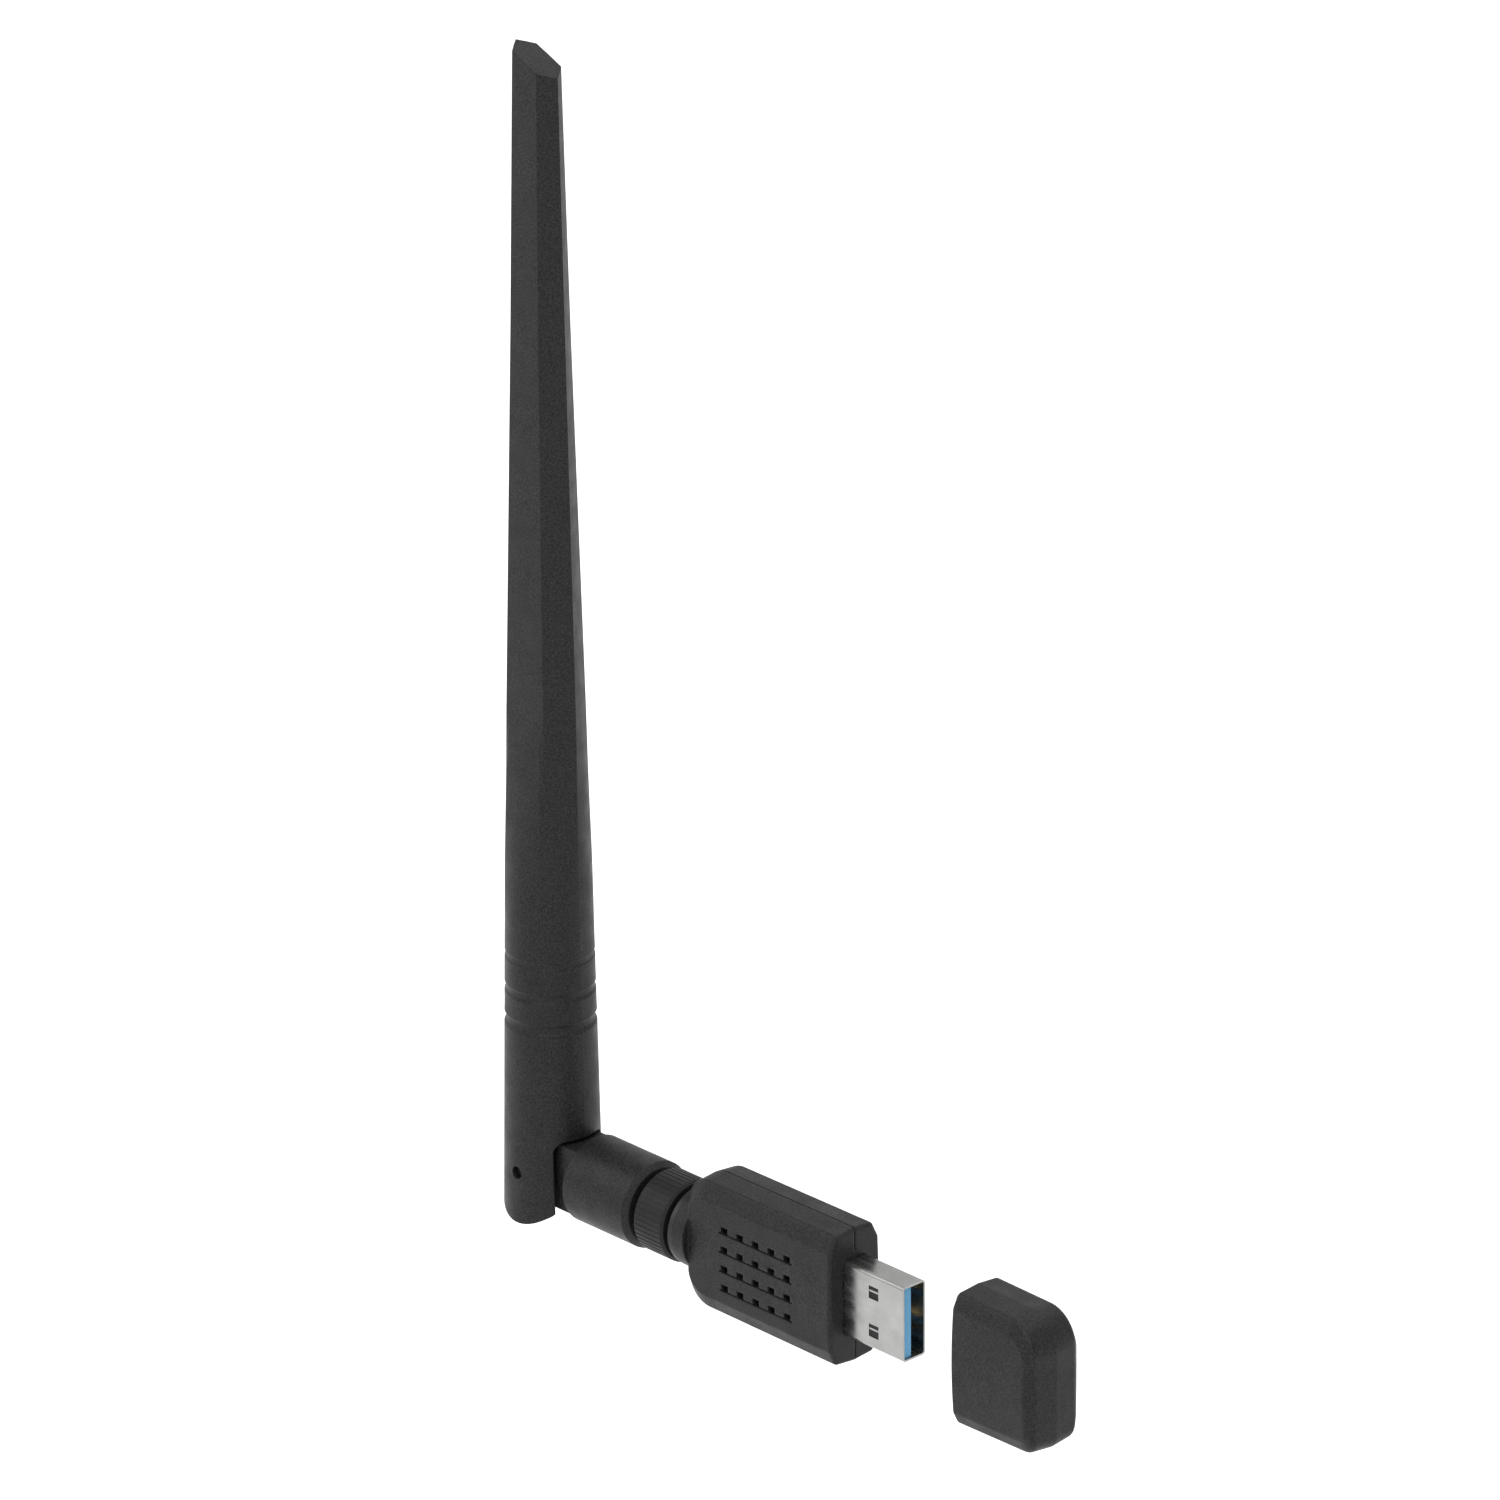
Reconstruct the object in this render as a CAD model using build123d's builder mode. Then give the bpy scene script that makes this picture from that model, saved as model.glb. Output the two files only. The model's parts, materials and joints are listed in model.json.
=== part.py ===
from build123d import *
import math
import os

os.makedirs("parts", exist_ok=True)

# Frame: X runs along the adapter towards the plug tip, Z runs up the raised antenna,
# and -Y is the vented face. The origin is the plug centre on the shoulder plane. All in mm.

# Plug
plug_w, plug_t, plug_out, plug_in = 12.0, 4.5, 12.4, 6.0
plug_wall, plug_corner = 0.3, 0.6
window, window_from_tip, window_z = 2.0, 6.14, 3.06
tongue_t, tongue_recess, block_front = 1.7, 0.4, 1.5
contact_t, contact_end_gap, contact_tail = 0.2, 0.8, 2.5
usb2_w, usb2_z = 1.0, (-3.5, -1.0, 1.0, 3.5)
usb3_w, usb3_z, usb3_front = 0.5, (-4.6, -2.25, 0.0, 2.25, 4.6), 4.5

# Body
body_len, body_t, body_h, body_h_end = 31.7, 10.2, 21.5, 21.2
bevel_y, bevel_in, bevel_end, draft_in, face_crown = 1.4, 2.8, 1.0, 0.35, 0.3
wall, end_wall, body_corner, body_edge, shoulder_edge = 1.2, 1.5, 4.6, 0.7, 0.6
corner_fade = (1, 0.9, 0.7)
seam_w, seam_d = 0.2, 0.35
boss_d, boss_len = 12.5, 1.0

# Vents
vent_cols, vent_rows, vent_w, vent_h = 5, 4, 1.4, 1.2
vent_pitch_x, vent_pitch_z, vent_x, vent_z = 3.34, 3.1, -15.8, -0.55
groove_len, groove_h, groove_d = 15.6, 0.3, 0.15

# Circuit board and what is soldered to it
board_t, board_h = 1.2, 15.0
chip_side, chip_t, chip_x = 6.0, 0.9, -14.0
can_len, can_h, can_t, can_wall, can_x = 12.0, 11.0, 1.9, 0.2, -16.0
crystal_l, crystal_h, crystal_t, crystal_x = 2.5, 3.2, 0.8, -20.5
bead_l, bead_h, bead_t, bead_x, bead_pitch, bead_count = 0.6, 1.0, 0.5, -9.0, 2.0, 5

# Coaxial jack on the body
thread_d, jack_bore, jack_len, jack_core_in = 6.25, 4.8, 7.6, 4.2
thread_pitch, thread_depth, thread_turns = 0.8, 0.2, 6
flange_lip, flange_t, jack_tail = 0.475, 1.5, 3.5
core_pin_d, core_pin_in = 1.2, 1.3
jack_ring_d, jack_ring_t = 12.2, 0.9

# Coupling nut
nut_d, nut_len, nut_ribs, rib_w, rib_d, nut_edge = 12.9, 6.3, 48, 0.35, 0.08, 0.4
nut_gap, insert_d, insert_lip, spin_gap = 1.0, 9.0, 0.8, 0.1

# Connector under the hinge base
ferrule_d, ferrule_bore, ferrule_root_d, ferrule_root = 4.6, 3.6, 6.0, 4.8
collar_d, collar_t, ferrule_reach = 6.1, 0.25, 4.5
socket_d, socket_short = 1.9, 0.5
neck_d, neck_len = 8.5, 1.1

# Hinge base and hinge
base_d, base_len, base_edge = 13.6, 14.4, 0.8
hinge_reach, hinge_pin_d, pin_sink = 8.8, 2.0, 1.0
hinge_gap, end_gap, slot_corner = 0.5, 0.7, 1.8
tongue_w, tongue_r, washer_t, washer_d = 7.4, 5.3, 0.95, 7.0
cable_d, cable_bore = 1.4, 2.4

# Antenna
foot_d, slot_w, joint_z = 15.1, 9.5, 22.8
round_d, spigot_d, spigot_len = 13.85, 9.0, 14.5
collar_top_d, collar_top_z = 13.2, 41.0
ring_z, ring_floor, ring_lip, ring_d = (23.8, 28.8, 34.1), 0.35, 1.55, 0.3
blade_z, blade_w = (56.8, 72.6, 133.7, 178.0), (13.05, 12.95, 10.45, 8.7)
blade_flat, blade_t = (7.5, 8.05, 6.0, 5.1), (10.0, 8.55, 6.3, 4.65)
blade_bulge = (0.45, 0.12, 0.04, 0.04)
tip_peak_z, tip_low_z = 175.9, 172.2
radiator_w, radiator_t, radiator_z, radiator_len, radiator_gap = 3.2, 0.8, 44.0, 106.0, 0.15
cable_z = 12.0

# Cap
cap_x, cap_len, cap_depth, cap_gap = 25.5, 16.4, 13.0, 0.3
cap_t, cap_h_end, cap_crown = 10.8, 21.1, 0.6
cap_corner_top, cap_corner_low, cap_edge, cap_rim = 5.6, 2.4, 1.0, 0.4

# Positions and clearances that follow from the sizes above
fit = 0.05
big = 2 * body_h + body_len
plug_tip = plug_out
inner_t, inner_w = plug_t - 2 * plug_wall, plug_w - 2 * plug_wall
board_y = tongue_t - inner_t / 2
boss_x = -body_len - boss_len
jack_x = boss_x - jack_len + boss_len
nut_x = boss_x - jack_ring_t - nut_gap
nut_back = nut_x - nut_len
insert_back = nut_back + insert_lip
neck_x = nut_back - spin_gap
base_x = neck_x - neck_len
base_back = base_x - base_len
pin_x = base_back - hinge_reach
slot_roof = tongue_r + hinge_gap
foot_end_r = hinge_reach - end_gap
ferrule_back = base_x - ferrule_root
ferrule_x = insert_back + ferrule_reach
flange_d = thread_d + 2 * flange_lip
flange_end = -body_len + end_wall + flange_t
pin_tail = flange_end + jack_tail
foot_r = foot_d / 2
cap_end = cap_x + cap_len
round_bulge = collar_top_d / 2 * (1 - 0.75**0.5)
tip_span, tip_mid_z = blade_w[-1], (tip_peak_z + tip_low_z) / 2
tip_slope = (tip_peak_z - tip_low_z) / blade_w[-1]


def rounded_end(plane, x_round, x_square, half, half_far, r_low, r_high):
    """Side profile whose two corners at x_round are rounded."""
    s = 1 if x_square > x_round else -1
    k = 1 - 0.5**0.5
    low, high = x_round + s * r_low, x_round + s * r_high
    with BuildSketch(plane) as profile:
        with BuildLine():
            Line((x_square, -half_far), (low, -half))
            low_mid = (x_round + s * r_low * k, -half + r_low * k)
            ThreePointArc((low, -half), low_mid, (x_round, -half + r_low))
            Line((x_round, -half + r_low), (x_round, half - r_high))
            high_mid = (x_round + s * r_high * k, half - r_high * k)
            ThreePointArc((x_round, half - r_high), high_mid, (high, half))
            Line((high, half), (x_square, half_far))
            Line((x_square, half_far), (x_square, -half_far))
        make_face()
    return profile.sketch


def disc(x, diameter, bore=0.0):
    """Round or ring-shaped profile across X."""
    with BuildSketch(Plane.YZ.offset(x)) as ring:
        Circle(diameter / 2)
        if bore > 0:
            Circle(bore / 2, mode=Mode.SUBTRACT)
    return ring.sketch


def moulded_form(x_round, x_flat, half_t, halves, corners, crown, edge=0.0, rim=0.0):
    """Bevelled, drafted and crowned block with a rounded end at x_round and a flat one at x_flat."""
    s = 1 if x_flat > x_round else -1
    by = half_t - bevel_y
    shy = half_t - crown
    insets = (0, draft_in, draft_in + bevel_in)
    end_insets = (0, draft_in, draft_in + bevel_end)
    with BuildPart() as form:
        for side in (-1, 1):
            levels = []
            for y, inset, end_inset, fade in zip((0, by, half_t), insets, end_insets, corner_fade):
                high, far = halves[0] - inset, halves[1] - inset
                radii = [r * fade for r in corners]
                plane = Plane.XZ.offset(side * y)
                levels.append(rounded_end(plane, x_round + s * end_inset, x_flat, high, far, *radii))
            loft(levels[:2], ruled=True)
            loft(levels[1:], ruled=True)
        with BuildSketch(Plane.YZ.offset(x_flat)):
            with BuildLine():
                ThreePointArc((-shy, -halves[1]), (-half_t, 0), (-shy, halves[1]))
                Line((-shy, halves[1]), (shy, halves[1]))
                ThreePointArc((shy, halves[1]), (half_t, 0), (shy, -halves[1]))
                Line((shy, -halves[1]), (-shy, -halves[1]))
            make_face()
        extrude(amount=-s * big, mode=Mode.INTERSECT)
        if edge > 0:
            outer = [e for e in form.edges() if abs(e.center().Y) > by / 2]
            fillet([e for e in outer if abs(e.center().X - x_flat) > rim], edge)
        if rim > 0:
            flat_end = form.faces().filter_by(Plane.YZ).sort_by(Axis.X, reverse=s > 0)[0]
            fillet(flat_end.edges(), rim)
    return form.part


def body_form(inset, edge=0.0, rim=0.0):
    """Outer form of the body, or the same form inset evenly."""
    ends = end_wall if inset == wall else inset
    halves = (body_h_end / 2 - inset, body_h / 2 - inset)
    corner = body_corner - inset
    corners = (corner, corner)
    return moulded_form(-body_len + ends, -ends, body_t / 2 - inset, halves, corners, face_crown, edge, rim)


def half_space(sign):
    """Block that covers one side of the seam plane."""
    with BuildPart() as block:
        with BuildSketch(Plane.XZ):
            Rectangle(2 * big, 2 * big)
        extrude(amount=-sign * big)
    return block.part


def seam_gap(core):
    """Shallow groove round the seam plane, clear of the boss and the plug."""
    with BuildPart() as gap:
        with BuildSketch(Plane.XZ):
            Rectangle(2 * big, 2 * big)
        extrude(amount=seam_w / 2, both=True)
        add(core, mode=Mode.SUBTRACT)
        extrude(disc(-big, boss_d + 2 * seam_d), amount=big - body_len + end_wall, mode=Mode.SUBTRACT)
        with BuildSketch(Plane.YZ.offset(-end_wall)):
            Rectangle(body_t, plug_w + 2 * wall)
        extrude(amount=big, mode=Mode.SUBTRACT)
    return gap.part


def hollow_body():
    """Hollow body with the boss, the jack hole and the plug opening, before it is split."""
    with BuildPart() as whole:
        add(body_form(0, body_edge, shoulder_edge))
        extrude(disc(boss_x, boss_d), amount=boss_len + end_wall)
        add(body_form(wall), mode=Mode.SUBTRACT)
        extrude(disc(flange_end - flange_t, flange_d + 2 * fit), amount=flange_t, mode=Mode.SUBTRACT)
        extrude(disc(boss_x, thread_d + 2 * fit), amount=boss_len + 2 * end_wall, mode=Mode.SUBTRACT)
        with BuildSketch(Plane.YZ.offset(-2 * end_wall)):
            RectangleRounded(plug_t + 2 * fit, plug_w + 2 * fit, plug_corner + fit)
        extrude(amount=3 * end_wall, mode=Mode.SUBTRACT)
        add(seam_gap(body_form(seam_d)), mode=Mode.SUBTRACT)
    return whole.part


def blade_section(z, w, flat, t, bulge):
    """Hexagonal section across Z with ridges on X and slightly bulged sides."""
    right = [(flat / 2, -t / 2), (w / 2, 0), (flat / 2, t / 2)]
    tips = right + [(-y, -z) for y, z in right]
    with BuildSketch(Plane.XY.offset(z)) as hexagon:
        with BuildLine():
            for a, b in zip(tips, tips[1:] + tips[:1]):
                mid = Vector((a[0] + b[0]) / 2, (a[1] + b[1]) / 2)
                ThreePointArc(a, mid + mid.normalized() * bulge, b)
        make_face()
    return hexagon.sketch.moved(Location((pin_x, 0, 0)))


def usb2_strips(x0, x1):
    """Four long contact strips on the tongue."""
    with BuildSketch(Plane.XZ.offset(-board_y)) as strips:
        for z in usb2_z:
            with Locations(((x0 + x1) / 2, z)):
                Rectangle(x1 - x0, usb2_w)
    return strips.sketch


def usb3_strips(x0, x1):
    """Five short contact strips between and beside the long ones."""
    with BuildSketch(Plane.XZ.offset(-board_y)) as strips:
        for z in usb3_z:
            with Locations(((x0 + x1) / 2, z)):
                Rectangle(x1 - x0, usb3_w)
    return strips.sketch


whole_body = hollow_body()

with BuildPart() as body_shell_front:
    add(whole_body)
    add(half_space(1), mode=Mode.SUBTRACT)
    with BuildSketch(Plane.XZ.offset(body_t / 2 - wall - face_crown)):
        with Locations((vent_x, vent_z)):
            with GridLocations(vent_pitch_x, vent_pitch_z, vent_cols, vent_rows):
                Rectangle(vent_w, vent_h)
    extrude(amount=3 * wall, mode=Mode.SUBTRACT)
    with BuildSketch(Plane.XZ.offset(body_t / 2 - face_crown - groove_d / 2)):
        with Locations((vent_x, vent_z - (vent_h - groove_h) / 2)):
            with GridLocations(0, vent_pitch_z, 1, vent_rows):
                Rectangle(groove_len, groove_h)
    extrude(amount=wall, mode=Mode.SUBTRACT)
body_shell_front.part.label = "body_shell_front"
export_step(body_shell_front.part, "parts/body_shell_front.step")

with BuildPart() as body_shell_rear:
    add(whole_body)
    add(half_space(-1), mode=Mode.SUBTRACT)
body_shell_rear.part.label = "body_shell_rear"
export_step(body_shell_rear.part, "parts/body_shell_rear.step")

with BuildPart() as main_board:
    with BuildSketch(Plane.XZ.offset(-board_y)):
        with Locations(((pin_tail - plug_in) / 2, 0)):
            Rectangle(-plug_in - pin_tail, board_h)
    extrude(amount=board_t)
main_board.part.label = "main_board"
export_step(main_board.part, "parts/main_board.step")

with BuildPart() as wifi_chip:
    with BuildSketch(Plane.XZ.offset(board_t - board_y)):
        with Locations((chip_x, 0)):
            Rectangle(chip_side, chip_side)
    extrude(amount=chip_t)
wifi_chip.part.label = "wifi_chip"
export_step(wifi_chip.part, "parts/wifi_chip.step")

with BuildPart() as crystal:
    with BuildSketch(Plane.XZ.offset(board_t - board_y)):
        with Locations((crystal_x, 0)):
            Rectangle(crystal_l, crystal_h)
    extrude(amount=crystal_t)
crystal.part.label = "crystal"
export_step(crystal.part, "parts/crystal.step")

with BuildPart() as chip_capacitors:
    with BuildSketch(Plane.XZ.offset(board_t - board_y)):
        with Locations((bead_x, 0)):
            with GridLocations(1, bead_pitch, 1, bead_count):
                Rectangle(bead_l, bead_h)
    extrude(amount=bead_t)
chip_capacitors.part.label = "chip_capacitors"
export_step(chip_capacitors.part, "parts/chip_capacitors.step")

with BuildPart() as shield_can:
    with BuildSketch(Plane.XZ.offset(-board_y)):
        with Locations((can_x, 0)):
            RectangleRounded(can_len, can_h, can_wall * 3)
    extrude(amount=-can_t)
    with BuildSketch(Plane.XZ.offset(-board_y)):
        with Locations((can_x, 0)):
            Rectangle(can_len - 2 * can_wall, can_h - 2 * can_wall)
    extrude(amount=can_wall - can_t, mode=Mode.SUBTRACT)
shield_can.part.label = "shield_can"
export_step(shield_can.part, "parts/shield_can.step")

with BuildPart() as usb_plug_shell:
    with BuildSketch(Plane.YZ.offset(-plug_in)):
        RectangleRounded(plug_t, plug_w, plug_corner)
        RectangleRounded(inner_t, inner_w, plug_corner - plug_wall, mode=Mode.SUBTRACT)
    extrude(amount=plug_in + plug_tip)
    with BuildSketch(Plane.XZ):
        with Locations((plug_tip - window_from_tip, 0)):
            with GridLocations(1, 2 * window_z, 1, 2):
                Rectangle(window, window)
    extrude(amount=plug_t, both=True, mode=Mode.SUBTRACT)
usb_plug_shell.part.label = "usb_plug_shell"
export_step(usb_plug_shell.part, "parts/usb_plug_shell.step")

with BuildPart() as usb_insulator:
    with BuildSketch(Plane.YZ.offset(-plug_in)):
        RectangleRounded(inner_t, inner_w, plug_corner - plug_wall)
    extrude(amount=plug_in + block_front)
    with BuildSketch(Plane.YZ.offset(block_front)):
        with Locations(((tongue_t - inner_t) / 2, 0)):
            RectangleRounded(tongue_t, inner_w, plug_corner - plug_wall)
    extrude(amount=plug_tip - tongue_recess - block_front)
    with BuildSketch(Plane.XZ.offset(inner_t / 2)):
        with Locations((plug_tip - window_from_tip, 0)):
            with GridLocations(1, 2 * window_z, 1, 2):
                Rectangle(window + plug_wall, window + plug_wall)
    extrude(amount=-tongue_t / 2, mode=Mode.SUBTRACT)
    extrude(usb2_strips(-plug_in, block_front), amount=-contact_t, mode=Mode.SUBTRACT)
    extrude(usb3_strips(-plug_in, block_front), amount=-contact_t, mode=Mode.SUBTRACT)
usb_insulator.part.label = "usb_insulator"
export_step(usb_insulator.part, "parts/usb_insulator.step")

with BuildPart() as usb2_contacts:
    strip_front = plug_tip - tongue_recess - contact_end_gap
    extrude(usb2_strips(-plug_in - contact_tail, strip_front), amount=-contact_t)
usb2_contacts.part.label = "usb2_contacts"
export_step(usb2_contacts.part, "parts/usb2_contacts.step")

with BuildPart() as usb3_contacts:
    extrude(usb3_strips(-plug_in - contact_tail, usb3_front), amount=-contact_t)
usb3_contacts.part.label = "usb3_contacts"
export_step(usb3_contacts.part, "parts/usb3_contacts.step")

with BuildPart() as jack_barrel:
    extrude(disc(jack_x, thread_d, jack_bore), amount=flange_end - jack_x)
    extrude(disc(flange_end - flange_t, flange_d, jack_bore), amount=flange_t)
    for turn in range(thread_turns):
        groove_x = jack_x + thread_pitch * (turn + 1 / 2)
        groove = disc(groove_x, thread_d, thread_d - 2 * thread_depth)
        extrude(groove, amount=thread_pitch / 2, mode=Mode.SUBTRACT)
jack_barrel.part.label = "jack_barrel"
export_step(jack_barrel.part, "parts/jack_barrel.step")

with BuildPart() as jack_insulator:
    extrude(disc(jack_x + jack_core_in, jack_bore, core_pin_d), amount=flange_end - jack_x - jack_core_in)
jack_insulator.part.label = "jack_insulator"
export_step(jack_insulator.part, "parts/jack_insulator.step")

with BuildPart() as jack_pin:
    extrude(disc(jack_x + core_pin_in, core_pin_d), amount=pin_tail - jack_x - core_pin_in)
jack_pin.part.label = "jack_pin"
export_step(jack_pin.part, "parts/jack_pin.step")

with BuildPart() as jack_ring:
    extrude(disc(boss_x - jack_ring_t, jack_ring_d, thread_d), amount=jack_ring_t)
jack_ring.part.label = "jack_ring"
export_step(jack_ring.part, "parts/jack_ring.step")

with BuildPart() as coupling_nut:
    extrude(disc(nut_back, nut_d), amount=nut_len)
    chamfer(coupling_nut.edges(), nut_edge)
    extrude(disc(nut_back, insert_d), amount=nut_len, mode=Mode.SUBTRACT)
    with BuildSketch(Plane.YZ.offset(nut_back)):
        with PolarLocations(nut_d / 2, nut_ribs):
            Rectangle(2 * rib_d, rib_w)
    extrude(amount=nut_len, mode=Mode.SUBTRACT)
coupling_nut.part.label = "coupling_nut"
export_step(coupling_nut.part, "parts/coupling_nut.step")

with BuildPart() as nut_insert:
    extrude(disc(nut_back, insert_d, ferrule_d + 2 * spin_gap), amount=insert_lip)
    extrude(disc(insert_back, insert_d, thread_d + 2 * spin_gap), amount=nut_len - insert_lip - nut_edge)
nut_insert.part.label = "nut_insert"
export_step(nut_insert.part, "parts/nut_insert.step")

with BuildPart() as ferrule:
    extrude(disc(ferrule_back, ferrule_root_d, ferrule_bore), amount=neck_x - ferrule_back)
    extrude(disc(neck_x, ferrule_d, ferrule_bore), amount=ferrule_x - neck_x)
    extrude(disc(insert_back + spin_gap, collar_d, ferrule_bore), amount=collar_t)
ferrule.part.label = "ferrule"
export_step(ferrule.part, "parts/ferrule.step")

with BuildPart() as ferrule_insulator:
    extrude(disc(ferrule_back, ferrule_bore, socket_d), amount=nut_back - ferrule_back)
ferrule_insulator.part.label = "ferrule_insulator"
export_step(ferrule_insulator.part, "parts/ferrule_insulator.step")

with BuildPart() as ferrule_socket:
    extrude(disc(ferrule_back, socket_d), amount=ferrule_x - socket_short - ferrule_back)
    extrude(disc(nut_back, core_pin_d + 2 * fit), amount=nut_len, mode=Mode.SUBTRACT)
ferrule_socket.part.label = "ferrule_socket"
export_step(ferrule_socket.part, "parts/ferrule_socket.step")

with BuildPart() as hinge_base:
    extrude(disc(base_back, base_d), amount=base_len)
    chamfer(hinge_base.edges(), base_edge)
    extrude(disc(base_x, neck_d), amount=neck_len)
    with BuildSketch(Plane.XZ):
        with Locations(((pin_x + base_back) / 2 + base_edge / 2, 0)):
            Rectangle(hinge_reach + base_edge, 2 * tongue_r)
        with Locations((pin_x, 0)):
            Circle(tongue_r)
    extrude(amount=tongue_w / 2, both=True)
    extrude(disc(ferrule_back, ferrule_root_d), amount=neck_x - ferrule_back, mode=Mode.SUBTRACT)
    extrude(disc(ferrule_back, cable_bore), amount=base_back - ferrule_back - base_edge, mode=Mode.SUBTRACT)
    with BuildSketch(Plane.XZ):
        with Locations((pin_x, 0)):
            Circle(hinge_pin_d / 2 + fit)
    extrude(amount=tongue_w, both=True, mode=Mode.SUBTRACT)
hinge_base.part.label = "hinge_base"
export_step(hinge_base.part, "parts/hinge_base.step")

with BuildPart() as base_cable:
    extrude(disc(ferrule_back, cable_d), amount=base_back - ferrule_back)
base_cable.part.label = "base_cable"
export_step(base_cable.part, "parts/base_cable.step")

with BuildPart() as friction_washers:
    for side in (-1, 1):
        with BuildSketch(Plane.XZ.offset(side * tongue_w / 2)):
            with Locations((pin_x, 0)):
                Circle(washer_d / 2)
                Circle(hinge_pin_d / 2 + fit, mode=Mode.SUBTRACT)
        extrude(amount=side * washer_t)
friction_washers.part.label = "friction_washers"
export_step(friction_washers.part, "parts/friction_washers.step")

with BuildPart() as hinge_pin:
    with BuildSketch(Plane.XZ):
        with Locations((pin_x, 0)):
            Circle(hinge_pin_d / 2)
    extrude(amount=foot_r - pin_sink, both=True)
hinge_pin.part.label = "hinge_pin"
export_step(hinge_pin.part, "parts/hinge_pin.step")

with BuildPart() as antenna_foot:
    with BuildSketch(Plane.XY.offset(-foot_d)):
        with Locations((pin_x, 0)):
            Circle(foot_d / 2)
    with BuildSketch(Plane.XY.offset(joint_z)):
        with Locations((pin_x, 0)):
            Circle(round_d / 2)
    loft()
    with BuildSketch(Plane.XZ):
        with Locations((pin_x, 0)):
            Circle(foot_end_r)
        with Locations((pin_x, joint_z / 2)):
            Rectangle(2 * foot_end_r, joint_z)
    extrude(amount=foot_d, both=True, mode=Mode.INTERSECT)
    with BuildSketch(Plane.XY.offset(joint_z)):
        with Locations((pin_x, 0)):
            Circle(spigot_d / 2)
    extrude(amount=spigot_len)
    with BuildSketch(Plane.YZ.offset(pin_x)):
        with Locations((0, slot_roof - foot_d)):
            RectangleRounded(slot_w, 2 * foot_d, slot_corner)
    extrude(amount=foot_d, both=True, mode=Mode.SUBTRACT)
    with BuildSketch(Plane.XY):
        with Locations((pin_x, 0)):
            Circle(cable_bore / 2)
    extrude(amount=joint_z + spigot_len, mode=Mode.SUBTRACT)
    with BuildSketch(Plane.XZ):
        with Locations((pin_x, 0)):
            Circle(hinge_pin_d / 2)
    extrude(amount=foot_d, both=True, mode=Mode.SUBTRACT)
antenna_foot.part.label = "antenna_foot"
export_step(antenna_foot.part, "parts/antenna_foot.step")

with BuildPart() as antenna_blade:
    with BuildSketch(Plane.XY.offset(joint_z)):
        with Locations((pin_x, 0)):
            Circle(round_d / 2)
    with BuildSketch(Plane.XY.offset(collar_top_z)):
        with Locations((pin_x, 0)):
            Circle(collar_top_d / 2)
    loft()
    collar_flat, collar_t = collar_top_d / 2, collar_top_d * 0.75**0.5
    sections = [blade_section(collar_top_z, collar_top_d, collar_flat, collar_t, round_bulge)]
    for level in zip(blade_z, blade_w, blade_flat, blade_t, blade_bulge):
        sections.append(blade_section(*level))
    loft(sections[:3])
    loft(sections[2:], ruled=True)
    for z in ring_z:
        with BuildSketch(Plane.XZ):
            with BuildLine():
                Polyline(
                    (pin_x + round_d / 2 - ring_d, z - ring_floor),
                    (pin_x + round_d / 2 + ring_d, z - ring_lip),
                    (pin_x + round_d / 2 + ring_d, z + ring_lip),
                    (pin_x + round_d / 2 - ring_d, z + ring_floor),
                    close=True,
                )
            make_face()
        revolve(axis=Axis((pin_x, 0, 0), (0, 0, 1)), mode=Mode.SUBTRACT)
    with BuildSketch(Plane.XZ):
        with BuildLine():
            Polyline(
                (pin_x - tip_span, tip_mid_z + tip_slope * tip_span),
                (pin_x + tip_span, tip_mid_z - tip_slope * tip_span),
                (pin_x + tip_span, blade_z[-1] + tip_span),
                (pin_x - tip_span, blade_z[-1] + tip_span),
                close=True,
            )
        make_face()
    extrude(amount=foot_d, both=True, mode=Mode.SUBTRACT)
    with BuildSketch(Plane.XY.offset(joint_z)):
        with Locations((pin_x, 0)):
            Circle(spigot_d / 2)
    extrude(amount=spigot_len, mode=Mode.SUBTRACT)
    with BuildSketch(Plane.XY.offset(joint_z)):
        with Locations((pin_x, 0)):
            Circle(cable_bore / 2)
    extrude(amount=radiator_z - joint_z, mode=Mode.SUBTRACT)
    with BuildSketch(Plane.XY.offset(radiator_z)):
        with Locations((pin_x, 0)):
            Rectangle(radiator_w, radiator_t + 2 * radiator_gap)
    extrude(amount=radiator_len + radiator_w, mode=Mode.SUBTRACT)
antenna_blade.part.label = "antenna_blade"
export_step(antenna_blade.part, "parts/antenna_blade.step")

with BuildPart() as antenna_cable:
    with BuildSketch(Plane.XY.offset(cable_z)):
        with Locations((pin_x, 0)):
            Circle(cable_d / 2)
    extrude(amount=radiator_z - cable_z)
antenna_cable.part.label = "antenna_cable"
export_step(antenna_cable.part, "parts/antenna_cable.step")

with BuildPart() as radiator_board:
    with BuildSketch(Plane.XY.offset(radiator_z)):
        with Locations((pin_x, 0)):
            Rectangle(radiator_w, radiator_t)
    extrude(amount=radiator_len)
radiator_board.part.label = "radiator_board"
export_step(radiator_board.part, "parts/radiator_board.step")

with BuildPart() as protective_cap:
    cap_corners = (cap_corner_low, cap_corner_top)
    cap_halves = (cap_h_end / 2, body_h / 2)
    add(moulded_form(cap_end, cap_x, cap_t / 2, cap_halves, cap_corners, cap_crown, cap_edge, cap_rim))
    with BuildSketch(Plane.YZ.offset(cap_x)):
        RectangleRounded(plug_t + 2 * cap_gap, plug_w + 2 * cap_gap, plug_corner + cap_gap)
    extrude(amount=cap_depth, mode=Mode.SUBTRACT)
protective_cap.part.label = "protective_cap"
export_step(protective_cap.part, "parts/protective_cap.step")
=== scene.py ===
import json
import math

import bpy
from mathutils import Matrix, Vector


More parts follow.
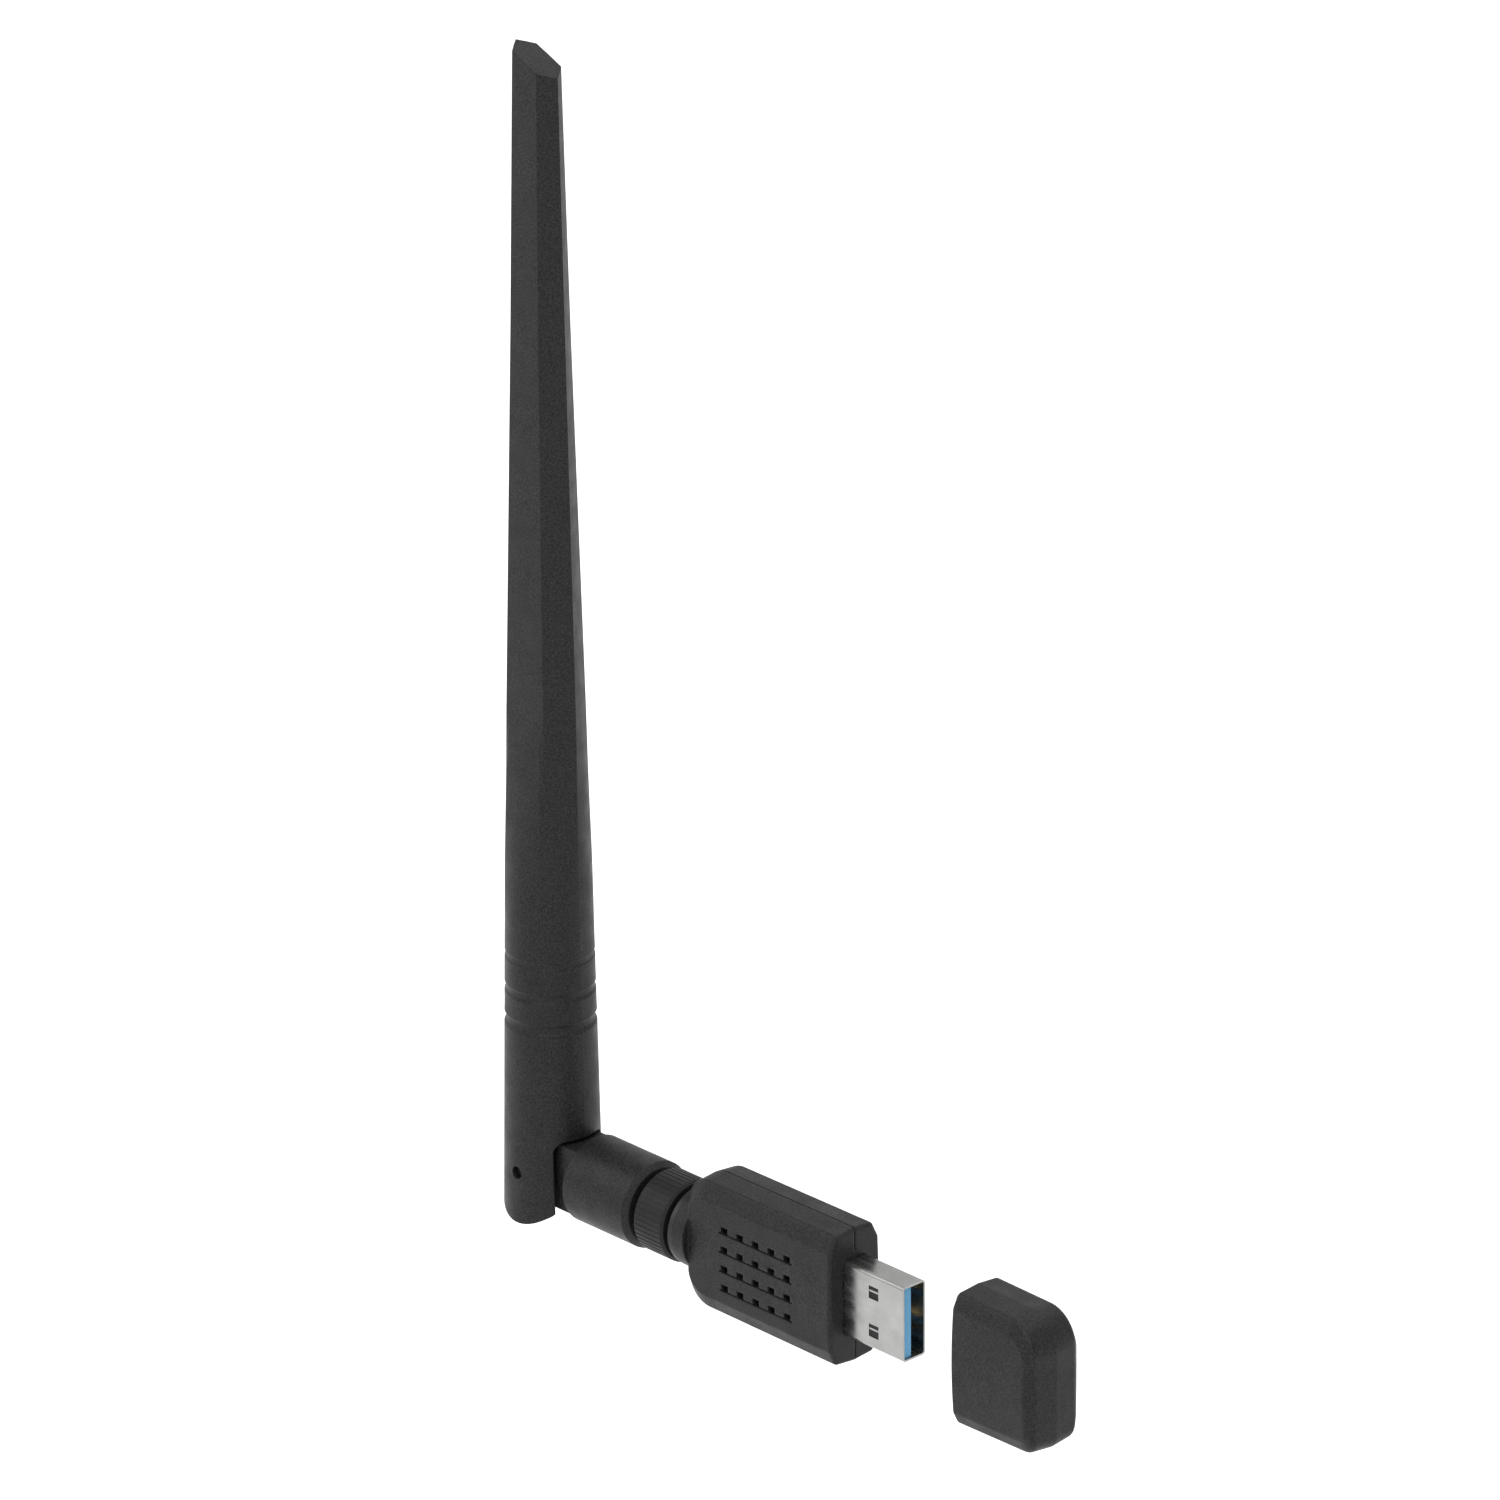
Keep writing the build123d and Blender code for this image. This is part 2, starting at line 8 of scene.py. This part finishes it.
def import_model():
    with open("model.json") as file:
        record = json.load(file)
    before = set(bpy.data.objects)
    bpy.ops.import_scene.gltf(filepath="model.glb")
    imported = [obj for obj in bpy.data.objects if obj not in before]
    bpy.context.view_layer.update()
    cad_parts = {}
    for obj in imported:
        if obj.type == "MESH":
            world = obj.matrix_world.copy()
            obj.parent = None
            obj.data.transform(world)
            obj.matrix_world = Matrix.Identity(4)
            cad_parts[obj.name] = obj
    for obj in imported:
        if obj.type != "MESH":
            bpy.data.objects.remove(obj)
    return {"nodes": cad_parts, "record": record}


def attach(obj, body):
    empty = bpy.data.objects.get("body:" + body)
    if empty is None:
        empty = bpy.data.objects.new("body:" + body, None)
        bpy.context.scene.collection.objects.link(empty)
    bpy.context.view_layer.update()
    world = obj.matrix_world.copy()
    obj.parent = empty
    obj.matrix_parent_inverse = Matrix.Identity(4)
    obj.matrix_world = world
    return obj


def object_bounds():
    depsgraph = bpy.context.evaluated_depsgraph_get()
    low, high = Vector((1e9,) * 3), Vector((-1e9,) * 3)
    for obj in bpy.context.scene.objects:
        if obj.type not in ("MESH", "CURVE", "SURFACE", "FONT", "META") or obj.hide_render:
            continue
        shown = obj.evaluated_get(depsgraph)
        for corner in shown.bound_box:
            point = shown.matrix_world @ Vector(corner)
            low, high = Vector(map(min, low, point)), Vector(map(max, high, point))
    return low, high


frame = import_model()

CAD_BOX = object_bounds()
NODES = frame["nodes"]
MM = 0.001


# ---------------------------------------------------------------- materials

def new_material(name):
    mat = bpy.data.materials.new(name)
    mat.use_nodes = True
    tree = mat.node_tree
    tree.nodes.clear()
    out = tree.nodes.new("ShaderNodeOutputMaterial")
    shader = tree.nodes.new("ShaderNodeBsdfPrincipled")
    tree.links.new(shader.outputs["BSDF"], out.inputs["Surface"])
    return mat, tree, shader


def noise(tree, coords, scale, detail=2.0, stretch=(1, 1, 1)):
    mapping = tree.nodes.new("ShaderNodeMapping")
    mapping.inputs["Scale"].default_value = stretch
    tree.links.new(coords, mapping.inputs["Vector"])
    tex = tree.nodes.new("ShaderNodeTexNoise")
    tex.inputs["Scale"].default_value = scale
    tex.inputs["Detail"].default_value = detail
    tree.links.new(mapping.outputs["Vector"], tex.inputs["Vector"])
    return tex.outputs["Fac"]


def remap(tree, value, low, high):
    node = tree.nodes.new("ShaderNodeMapRange")
    node.inputs["To Min"].default_value = low
    node.inputs["To Max"].default_value = high
    node.inputs["From Min"].default_value = 0.3
    node.inputs["From Max"].default_value = 0.7
    tree.links.new(value, node.inputs["Value"])
    return node.outputs["Result"]


def ramp(tree, value, low, high, a=0.3, b=0.7):
    node = tree.nodes.new("ShaderNodeValToRGB")
    node.color_ramp.elements[0].position = a
    node.color_ramp.elements[0].color = (*low, 1)
    node.color_ramp.elements[1].position = b
    node.color_ramp.elements[1].color = (*high, 1)
    tree.links.new(value, node.inputs["Fac"])
    return node.outputs["Color"]


def bump(tree, shader, height, strength, distance, edge=0.0):
    node = tree.nodes.new("ShaderNodeBump")
    node.inputs["Strength"].default_value = strength
    node.inputs["Distance"].default_value = distance
    tree.links.new(height, node.inputs["Height"])
    if edge > 0:
        soft = tree.nodes.new("ShaderNodeBevel")
        soft.samples = 6
        soft.inputs["Radius"].default_value = edge
        tree.links.new(soft.outputs["Normal"], node.inputs["Normal"])
    tree.links.new(node.outputs["Normal"], shader.inputs["Normal"])


def coords(tree):
    return tree.nodes.new("ShaderNodeTexCoord").outputs["Object"]


def moulded_plastic(name, low, high, rough=(0.42, 0.56), grain=3200.0, depth=0.35, edge=0.25 * MM, spec=0.2):
    """Satin moulded plastic: fine spark-eroded grain, pale flecks and rubbed patches."""
    mat, tree, shader = new_material(name)
    place = coords(tree)
    fleck = noise(tree, place, 4200.0, 3.0)
    tree.links.new(ramp(tree, fleck, low, high, 0.35, 0.7), shader.inputs["Base Color"])
    rub = noise(tree, place, 300.0, 6.0)
    tree.links.new(remap(tree, rub, *rough), shader.inputs["Roughness"])
    shader.inputs["Specular IOR Level"].default_value = spec
    speckle = tree.nodes.new("ShaderNodeMath")
    speckle.operation = "MULTIPLY_ADD"
    speckle.inputs[1].default_value = 0.6
    tree.links.new(noise(tree, place, grain * 0.45, 3.0), speckle.inputs[0])
    tree.links.new(noise(tree, place, grain, 2.0), speckle.inputs[2])
    bump(tree, shader, speckle.outputs[0], depth, 0.07 * MM, edge)
    return mat


DRAWN = (0.08, 1, 1)


def plated_metal(name, low, high, rough=(0.2, 0.34)):
    """Plated metal with fine drawing lines, cloudy sheen and small rubbed spots."""
    mat, tree, shader = new_material(name)
    place = coords(tree)
    tree.links.new(ramp(tree, noise(tree, place, 260.0, 3.0), low, high), shader.inputs["Base Color"])
    shader.inputs["Metallic"].default_value = 1.0
    tree.links.new(remap(tree, noise(tree, place, 700.0, 4.0, DRAWN), *rough), shader.inputs["Roughness"])
    bump(tree, shader, noise(tree, place, 4000.0, 2.0, DRAWN), 0.12, 0.01 * MM, 0.08 * MM)
    return mat


BLACK_LOW, BLACK_HIGH = (0.0012, 0.0012, 0.0014), (0.0185, 0.0185, 0.019)
NUT_LOW, NUT_HIGH = (0.005, 0.005, 0.0054), (0.008, 0.008, 0.0084)
BLUE_LOW, BLUE_HIGH = (0.085, 0.26, 0.44), (0.11, 0.31, 0.50)
MATERIALS = {
    "body_plastic": moulded_plastic("satin_black_body", BLACK_LOW, BLACK_HIGH, edge=0.4 * MM),
    "antenna_plastic": moulded_plastic("satin_black_antenna", BLACK_LOW, BLACK_HIGH, grain=3600.0),
    "cap_plastic": moulded_plastic("satin_black_cap", BLACK_LOW, BLACK_HIGH, edge=0.4 * MM),
    "nut_plastic": moulded_plastic("satin_black_nut", NUT_LOW, NUT_HIGH, edge=0.1 * MM),
    "plug_metal": plated_metal("satin_nickel", (0.29, 0.29, 0.285), (0.35, 0.35, 0.345)),
    "blue_plastic": moulded_plastic("blue_plastic", BLUE_LOW, BLUE_HIGH, (0.3, 0.42), edge=0.1 * MM),
    "gold_contact": plated_metal("gold_contact", (0.70, 0.47, 0.16), (0.80, 0.57, 0.24), (0.18, 0.3)),
    "connector_brass": plated_metal("connector_brass", (0.50, 0.38, 0.18), (0.60, 0.47, 0.25), (0.25, 0.4)),
    "black_metal": plated_metal("black_metal", (0.025, 0.025, 0.026), (0.045, 0.045, 0.046), (0.35, 0.5)),
    "board_green": moulded_plastic("board_green", (0.01, 0.07, 0.03), (0.015, 0.10, 0.045), (0.25, 0.4)),
    "chip_black": moulded_plastic("chip_black", (0.01, 0.01, 0.01), (0.016, 0.016, 0.016), (0.5, 0.7)),
    "can_metal": plated_metal("can_metal", (0.55, 0.55, 0.54), (0.65, 0.65, 0.64)),
    "ceramic": moulded_plastic("ceramic", (0.25, 0.17, 0.10), (0.33, 0.24, 0.15), (0.4, 0.6)),
    "white_plastic": moulded_plastic("white_plastic", (0.75, 0.75, 0.72), (0.82, 0.82, 0.80), (0.35, 0.5)),
    "cable_black": moulded_plastic("cable_black", (0.012, 0.012, 0.012), (0.02, 0.02, 0.02), (0.4, 0.6)),
    "pin_metal": plated_metal("pin_metal", (0.02, 0.02, 0.021), (0.035, 0.035, 0.036), (0.3, 0.45)),
    "washer_metal": plated_metal("washer_metal", (0.45, 0.45, 0.45), (0.55, 0.55, 0.55)),
}
for part in frame["record"]["subparts"]:
    node = NODES[part["node"]]
    node.data.materials.clear()
    node.data.materials.append(MATERIALS[part["material_slot"]])


# ---------------------------------------------------------------- latch windows

def box_piece(name, slot, low, high):
    """Axis-aligned slip with slightly eased ends that rides with the adapter body."""
    mesh = bpy.data.meshes.new(name)
    ease = 0.04 * MM
    corners = []
    for y, inset in ((high[1], 0), (low[1] + ease, 0), (low[1], ease)):
        for x, z in ((low[0] + inset, low[2] + inset), (high[0] - inset, low[2] + inset),
                     (high[0] - inset, high[2] - inset), (low[0] + inset, high[2] - inset)):
            corners.append((x, y, z))
    faces = [(0, 1, 2, 3), (11, 10, 9, 8)]
    for ring in (0, 4):
        for i in range(4):
            j = (i + 1) % 4
            faces.append((ring + i, ring + 4 + i, ring + 4 + j, ring + j))
    mesh.from_pydata(corners, [], faces)
    mesh.validate()
    obj = bpy.data.objects.new(name, mesh)
    bpy.context.scene.collection.objects.link(obj)
    mesh.materials.append(MATERIALS[slot])
    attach(obj, "adapter")
    return obj


def latch_windows():
    """Painted shade: dark slips just inside the two plug windows on the vented side stand in for the shade
    in the window holes, with bright metal webs across them.
    """
    plug_half, wall, window, from_tip, tip = 2.25 * MM, 0.3 * MM, 1.0 * MM, 6.14 * MM, 12.4 * MM
    x = tip - from_tip
    for side in (-1, 1):
        z = side * 3.06 * MM
        tag = "upper" if side > 0 else "lower"
        outer, inner = -plug_half + 0.12 * MM, -plug_half + wall - 0.01 * MM
        low, high = (x - window, outer, z - window), (x + window, inner, z + window)
        # Painted shade: a dark slip standing in for the shade inside the window hole.
        box_piece("latch_window_shade_" + tag, "chip_black", low, high)
        web_low = (x - window, outer - 0.05 * MM, z + 0.05 * MM)
        web_high = (x + window, outer - 0.002 * MM, z + 0.4 * MM)
        box_piece("latch_web_" + tag, "plug_metal", web_low, web_high)


latch_windows()


# ---------------------------------------------------------------- floor, light, camera

def floor():
    half, drop = 1.6, 60 * MM
    mesh = bpy.data.meshes.new("floor")
    z = CAD_BOX[0].z - drop
    corners = [(-half, -half, z), (half, -half, z), (half, half, z), (-half, half, z)]
    mesh.from_pydata(corners, [], [(0, 1, 2, 3)])
    obj = bpy.data.objects.new("floor", mesh)
    bpy.context.scene.collection.objects.link(obj)
    mat, tree, shader = new_material("pale_floor")
    place = coords(tree)
    tone = ramp(tree, noise(tree, place, 6.0), (0.93, 0.93, 0.93), (0.95, 0.95, 0.95))
    tree.links.new(tone, shader.inputs["Base Color"])
    shader.inputs["Roughness"].default_value = 1.0
    shader.inputs["Specular IOR Level"].default_value = 0.0
    mesh.materials.append(mat)


def area_light(name, place, target, size, power):
    data = bpy.data.lights.new(name, "AREA")
    data.shape = "DISK"
    data.size = size
    data.energy = power
    obj = bpy.data.objects.new(name, data)
    bpy.context.scene.collection.objects.link(obj)
    obj.location = place
    obj.rotation_mode = "QUATERNION"
    obj.rotation_quaternion = (Vector(target) - Vector(place)).to_track_quat("-Z", "Y")
    return obj


def world(strength):
    scene_world = bpy.data.worlds.new("studio")
    scene_world.use_nodes = True
    background = scene_world.node_tree.nodes["Background"]
    background.inputs["Color"].default_value = (1, 1, 1, 1)
    background.inputs["Strength"].default_value = strength
    bpy.context.scene.world = scene_world


def camera():
    azimuth, elevation, roll = math.radians(46.995), math.radians(23.04), math.radians(-0.451)
    across, up, distance, focal_px, frame_px = -14.66 * MM, 79.384 * MM, 1746.834 * MM, 12000.0, 1500.0
    right = Vector((math.cos(azimuth), math.sin(azimuth), 0))
    level = math.cos(elevation)
    ahead = Vector((-math.sin(azimuth) * level, math.cos(azimuth) * level, -math.sin(elevation)))
    above = right.cross(ahead)
    data = bpy.data.cameras.new("camera")
    data.sensor_width = 36.0
    data.lens = data.sensor_width * focal_px / frame_px
    data.clip_start, data.clip_end = 0.05, 20.0
    obj = bpy.data.objects.new("camera", data)
    bpy.context.scene.collection.objects.link(obj)
    turn = Matrix((right, above, -ahead)).transposed().to_4x4() @ Matrix.Rotation(roll, 4, "Z")
    obj.matrix_world = Matrix.Translation(right * across + above * up - ahead * distance) @ turn
    bpy.context.scene.camera = obj


floor()
world(0.95)
centre = (CAD_BOX[0] + CAD_BOX[1]) / 2
area_light("key", (0.35, -0.75, 0.75), centre, 0.9, 6.0)
area_light("left", (-0.9, -0.35, 0.45), centre, 0.7, 3.0)
area_light("top", (0.0, 0.25, 1.0), centre, 1.0, 5.0)
camera()
bpy.context.scene.view_settings.view_transform = "Standard"
